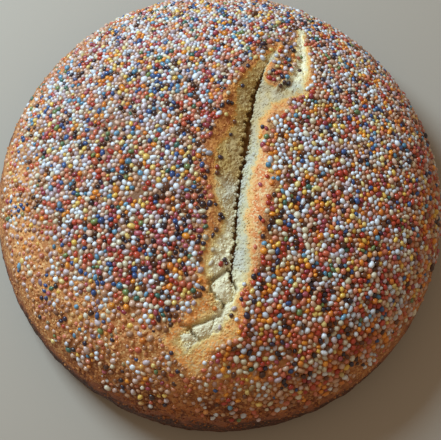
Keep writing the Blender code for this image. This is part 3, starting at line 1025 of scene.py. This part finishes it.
def joinShapes(name, shapes, chosen, turns, centres, marks):
    # one mesh from many turned and stretched copies of a few shapes
    mesh = bpy.data.meshes.new(name)
    points, loops, counts, values = [], [], [], {key: [] for key in marks}
    start = 0
    for index, (shape, turn, centre) in enumerate(zip(chosen, turns, centres)):
        corners, faces = shapes[shape]
        points.append(corners @ turn.T + centre)
        loops.append(np.concatenate([np.array(face) + start for face in faces]))
        counts.append([len(face) for face in faces])
        for key in marks:
            values[key].append(np.full(len(corners), marks[key][index]))
        start += len(corners)
    points, loops, counts = np.concatenate(points), np.concatenate(loops), np.concatenate(counts)
    mesh.vertices.add(len(points))
    mesh.vertices.foreach_set("co", points.astype(np.float32).ravel())
    mesh.loops.add(len(loops))
    mesh.loops.foreach_set("vertex_index", loops.astype(np.int32))
    mesh.polygons.add(len(counts))
    mesh.polygons.foreach_set("loop_start", np.r_[0, np.cumsum(counts)[:-1]].astype(np.int32))
    setMarks(mesh, {key: np.concatenate(values[key]) for key in marks})
    mesh.update(calc_edges=True)
    mesh.validate()
    mesh.shade_smooth()
    return mesh


def turnsFor(normals, spin, scales):
    # matrices that lay a shape on the surface, turned by spin and stretched
    side = unit(np.cross(normals, np.array((0.31, 0.95, 0.02))))
    other = np.cross(normals, side)
    along = side * np.cos(spin)[:, None] + other * np.sin(spin)[:, None]
    aside = np.cross(normals, along)
    return np.stack((along * scales[:, :1], aside * scales[:, 1:2], normals * scales[:, 2:]), 2)


# Sugar shell: a mottled satin coat of colour, soaked by the dough and browned where the oven reached it

def shellGroup():
    group, given, result = startGroup("sugarShell", (
        ("Vector", "Vector", None), ("Sugar", "Color", (0.8, 0.8, 0.8, 1)),
        ("Other", "Color", (0.7, 0.7, 0.7, 1)),
        ("Worn", "Color", (0.6, 0.6, 0.6, 1)), ("Browned", "Color", (0.2, 0.1, 0.05, 1)),
        ("Soaked", "Color", (0.5, 0.25, 0.1, 1)),
        ("Tone", "Float", 0.5), ("Bake", "Float", 0.0), ("Soak", "Float", 0.0),
    ), (("Color", "Color"), ("Roughness", "Float")))
    mottle = noiseNode(group, given["Vector"], 0.9 * mm, 3.0, 0.6)
    colour = mixColours(group, ramp(group, given["Tone"], 0.15, 0.95), given["Sugar"], given["Other"])
    colour = mixColours(group, ramp(group, mottle, 0.44, 0.7, 0.0, 0.6), colour, given["Worn"])
    soaked = calc(group, "MULTIPLY", given["Soak"], ramp(group, mottle, 0.3, 0.6, 0.7, 1.0))
    colour = mixColours(group, soaked, colour, given["Soaked"])
    browned = calc(group, "MULTIPLY", given["Bake"], ramp(group, mottle, 0.3, 0.6, 0.5, 1.0))
    colour = mixColours(group, browned, colour, given["Browned"])
    group.links.new(colour, result["Color"])
    group.links.new(ramp(group, mottle, 0.3, 0.7, 0.24, 0.46), result["Roughness"])
    return group


sugarShell = shellGroup()
pearlFinish = {
    "worn": (0.58, 0.46, 0.38),     # each colour leans this way on worn pearls
    "wornShare": 0.36,
    "browned": (0.36, 0.19, 0.10), "soaked": (0.78, 0.53, 0.34),
    "soak": 0.05,                   # how far the dough's colour comes through,
    "soakedShare": 0.42,            # the share where it does so more,
    "soakedMost": (0.4, 0.85),      # and how far it does there
    "coat": 0.3, "coatRoughness": 0.16,
}


def pearlMaterial(name):
    colour, other = pearlKinds[name][:2]
    share = pearlFinish["wornShare"]
    worn = tuple(c * (1 - share) + w * share * (0.4 + 0.6 * c) for c, w in zip(colour, pearlFinish["worn"]))
    material, tree, shader, place = startMaterial("sugar" + name.capitalize(), 0.45)
    shell = useGroup(tree, sugarShell, {
        "Vector": place, "Sugar": toLinear(colour), "Other": toLinear(other), "Worn": toLinear(worn),
        "Browned": toLinear(pearlFinish["browned"]), "Soaked": toLinear(pearlFinish["soaked"]),
        "Tone": attributeNode(tree, "tone"), "Bake": attributeNode(tree, "bake"),
        "Soak": attributeNode(tree, "soak"),
    })
    tree.links.new(shell["Color"], shader.inputs["Base Color"])
    tree.links.new(shell["Roughness"], shader.inputs["Roughness"])
    shader.inputs["Coat Weight"].default_value = pearlFinish["coat"]
    shader.inputs["Coat Roughness"].default_value = pearlFinish["coatRoughness"]
    return material


def withStrays(places, kinds, sizes, draw):
    # the stray pearls are added, and those in their way taken out
    stray = np.array([(x * mm, y * mm, 0) for x, y, _ in strayPearls])
    stray[:, 2] = domeHeight(shareAt(*stray.T[:2]))
    away = np.linalg.norm(places[:, None, :2] - stray[None, :, :2], axis=2).min(1)
    clear = away > sizes + 0.8 * pearlForm["radius"]
    kinds = np.r_[kinds[clear], [pearlNames.index(name) for *_, name in strayPearls]]
    sizes = np.r_[sizes[clear], pearlForm["radius"] * draw.uniform(0.8, 1.1, len(stray))]
    return np.concatenate((places[clear], stray)), kinds, sizes


def seatPearls(places, sizes, draw):
    # centres, sunk into the crust, and the way out of it
    x, y = places[:, 0], places[:, 1]
    heights, slanted = crustSurface(x, y)
    steep = between(*pearlForm["steep"], shareAt(x, y))[:, None]
    normals = unit(slanted * (1 - steep) + domeNormals(places) * steep)
    lift = heights - domeHeight(shareAt(x, y))
    sink = draw.uniform(*pearlForm["sink"], len(places)) + pearlForm["deeper"] * thinPart(x, y)
    sink[-len(strayPearls):] -= pearlForm["strayHigher"]
    return places + np.array((0, 0, 1)) * lift[:, None] - normals * (sizes * sink)[:, None], normals


def stretchPearls(sizes, draw):
    # sizes along, aside and upward
    count = len(sizes)
    long = np.where(draw.random(count) < pearlForm["longShare"], draw.uniform(*pearlForm["long"], count), 0)
    scales = np.stack((1 + 0.75 * long, 1 - 0.35 * long, 0.94 - 0.1 * draw.random(count)), 1)
    return scales * (sizes[:, None] * draw.uniform(0.95, 1.05, (count, 3)))


def agePearls(x, y, draw):
    # how browned each pearl is, and how far the dough's colour has soaked in
    count, valleys = len(x), valleysAt(x, y)
    lips = lipPart(valleys, pearlForm["bakedLip"]) * (valleys[0]["across"] < 0)
    bake = np.clip(0.3 * lips * draw.random(count) ** 0.7 + 0.3 * (draw.random(count) < 0.08), 0, 0.85)
    outer = between(0.72, 1.0, shareAt(x, y))
    soaked = draw.random(count) < pearlFinish["soakedShare"] * np.maximum(outer, thinPart(x, y)) ** 1.5
    return bake, np.where(soaked, draw.uniform(*pearlFinish["soakedMost"], count), pearlFinish["soak"])


def makePearls():
    places, sizes, draw = choosePearls()
    places = pushApart(places, sizes)
    places, kinds, sizes = withStrays(places, pearlColours(places, draw), sizes, draw)
    count = len(places)
    centres, normals = seatPearls(places, sizes, draw)
    scales = stretchPearls(sizes, draw)
    turns = turnsFor(normals, draw.uniform(0, 2 * np.pi, count), scales)
    bake, soak = agePearls(*places.T[:2], draw)
    tone, chosen = draw.random(count), draw.integers(0, pearlForm["shapes"], count)
    shapes = pearlShapes()
    for number, name in enumerate(pearlNames):
        mine = np.flatnonzero(kinds == number)
        mesh = joinShapes("pearls_" + name, shapes, chosen[mine], turns[mine], centres[mine],
                          {"tone": tone[mine], "bake": bake[mine], "soak": soak[mine]})
        mesh.materials.append(pearlMaterial(name))
        pearls = addObject(mesh, "pearls_" + name)
        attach(pearls, "root")
    print("pearls laid:", count)


makePearls()


# Grains: loose bits of torn crumb in the tear, and small bumps of baked dough on the bare crust

grainForm = {
    "crumb": {"count": 6600, "radius": 0.27 * mm, "spread": 0.42, "sink": (0.2, 0.9), "seed": 41},
    "crust": {"count": 9200, "radius": 0.50 * mm, "spread": 0.38, "sink": (0.35, 0.85), "seed": 43},
}


def gapEdge(valley):
    # 1 on the torn edges of the gap
    away = (np.abs(valley["across"]) - valley["gap"] / 2) / tear["edgeGrains"]
    return np.exp(-(away**2)) * between(*tear["gapOpens"], valley["gap"])


def crumbChance(x, y, valleys):
    # crumbs lie all over the tear, most by the gap's edges, and thin out past its lips
    main, branch = valleys
    torn = 0.3 + 0.7 * np.maximum(crumbMask(main, x, y), crumbMask(branch, x, y))
    inside = between(1.25, 0.85, np.minimum(main["share"], branch["share"]))
    return inside * torn * (0.5 + 0.7 * gapEdge(main)) * (1 - gapMask(main, x, y)) ** 2


def crustChance(x, y, valleys):
    # bumps lie on bare crust and beside the lips
    lips, share = lipDistance(valleys), shareAt(x, y)
    beside = 0.8 * between(8 * mm, 2 * mm, lips)
    patches = np.maximum(between(-0.4, 0.15, noiseAt(x, y, 9 * mm, 17.0)), sidePart("bottom", x, y))
    edge = sidePart("near", x, y) * between(*coverForm["rimFade"], share)
    chance = np.maximum(0.05 + np.maximum(thinPart(x, y), edge) * patches, beside)
    return chance * (lips > 0) * (share < 0.992)


def scatterGrains(name, form, chance, low, high):
    draw = np.random.default_rng(form["seed"])
    tries = 8 * form["count"]
    x, y = draw.uniform(low[0], high[0], tries), draw.uniform(low[1], high[1], tries)
    valleys = valleysAt(x, y)
    kept = np.flatnonzero(draw.random(tries) < chance(x, y, valleys) * (np.hypot(x, y) < loafRadius))
    kept = draw.permutation(kept)[:form["count"]]
    x, y, count = x[kept], y[kept], len(kept)
    valleys = [{key: value[kept] for key, value in valley.items()} for valley in valleys]
    relief = tearRelief(x, y, valleys)
    share = shareAt(x, y)
    z = domeHeight(share) + crustRise(x, y, valleys) + relief["height"]
    outward = unit(np.stack((x, y, np.full(count, 20 * mm)), 1))
    steep = between(0.6, 1.0, share)[:, None]
    normals = unit(outward * steep + np.array((0, 0, 1.0)) * (1 - steep))
    sizes = form["radius"] * np.exp(form["spread"] * draw.standard_normal(count))
    sizes *= 1 + 0.35 * gapEdge(valleys[0])
    centres = np.stack((x, y, z), 1) - normals * (sizes * draw.uniform(*form["sink"], count))[:, None]
    scales = sizes[:, None] * draw.uniform(0.7, 1.35, (count, 3))
    turns = turnsFor(normals, draw.uniform(0, 2 * np.pi, count), scales)
    bm = bmesh.new()
    bmesh.ops.create_icosphere(bm, subdivisions=1, radius=1)
    marks = {key: relief[key] for key in ("crumb", "toast", "gap", "crease", "scorchAndShade", "lowEnd")}
    marks["bare"], marks["warm"] = np.maximum(thinPart(x, y), 0.5), warmPart(x, y)
    marks["rightward"] = rightPart(x, y)
    mesh = joinShapes(name, [cornersAndFaces(bm)], np.zeros(count, int), turns, centres, marks)
    mesh.materials.append(bpy.data.materials["bakedCrust"])
    grains = addObject(mesh, name)
    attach(grains, "root")
    print(name, "laid:", count)


tearBox = (-30 * mm, -66 * mm), (36 * mm, 68 * mm)
loafBox = (-loafRadius, -loafRadius), (loafRadius, loafRadius)
scatterGrains("crumbGrains", grainForm["crumb"], crumbChance, *tearBox)
scatterGrains("crustGrains", grainForm["crust"], crustChance, *loafBox)


# Table and light

tableFinish = {"colour": (0.70, 0.66, 0.61), "size": 3.0, "roughness": 0.7}
lights = {
    "window": {"place": (-0.38, 0.36, 0.46), "aim": (0, 0, 0.02), "size": (0.26, 0.26), "watts": 5.9,
               "colour": (0.645, 0.85, 1.0)},
    "room": {"colour": (1.0, 0.79, 0.57), "strength": 0.32},
}


def makeTable():
    bm = bmesh.new()
    bmesh.ops.create_grid(bm, x_segments=2, y_segments=2, size=tableFinish["size"] / 2)
    mesh = bpy.data.meshes.new("table")
    bm.to_mesh(mesh)
    bm.free()
    material, _, shader, _ = startMaterial("paleTable", tableFinish["roughness"], 0.3)
    shader.inputs["Base Color"].default_value = toLinear(tableFinish["colour"])
    mesh.materials.append(material)
    addObject(mesh, "table")


def makeLights():
    window = lights["window"]
    data = bpy.data.lights.new("window", "AREA")
    data.shape = "RECTANGLE"
    data.size, data.size_y = window["size"]
    data.energy = window["watts"]
    data.color = window["colour"]
    lamp = bpy.data.objects.new("window", data)
    lamp.location = window["place"]
    towards = Vector(window["aim"]) - Vector(window["place"])
    lamp.rotation_euler = towards.to_track_quat("-Z", "Y").to_euler()
    bpy.context.scene.collection.objects.link(lamp)
    world = bpy.data.worlds.new("room")
    world.use_nodes = True
    background = world.node_tree.nodes["Background"]
    background.inputs["Color"].default_value = (*lights["room"]["colour"], 1)
    background.inputs["Strength"].default_value = lights["room"]["strength"]
    bpy.context.scene.world = world


makeTable()
makeLights()
print("table and light placed")
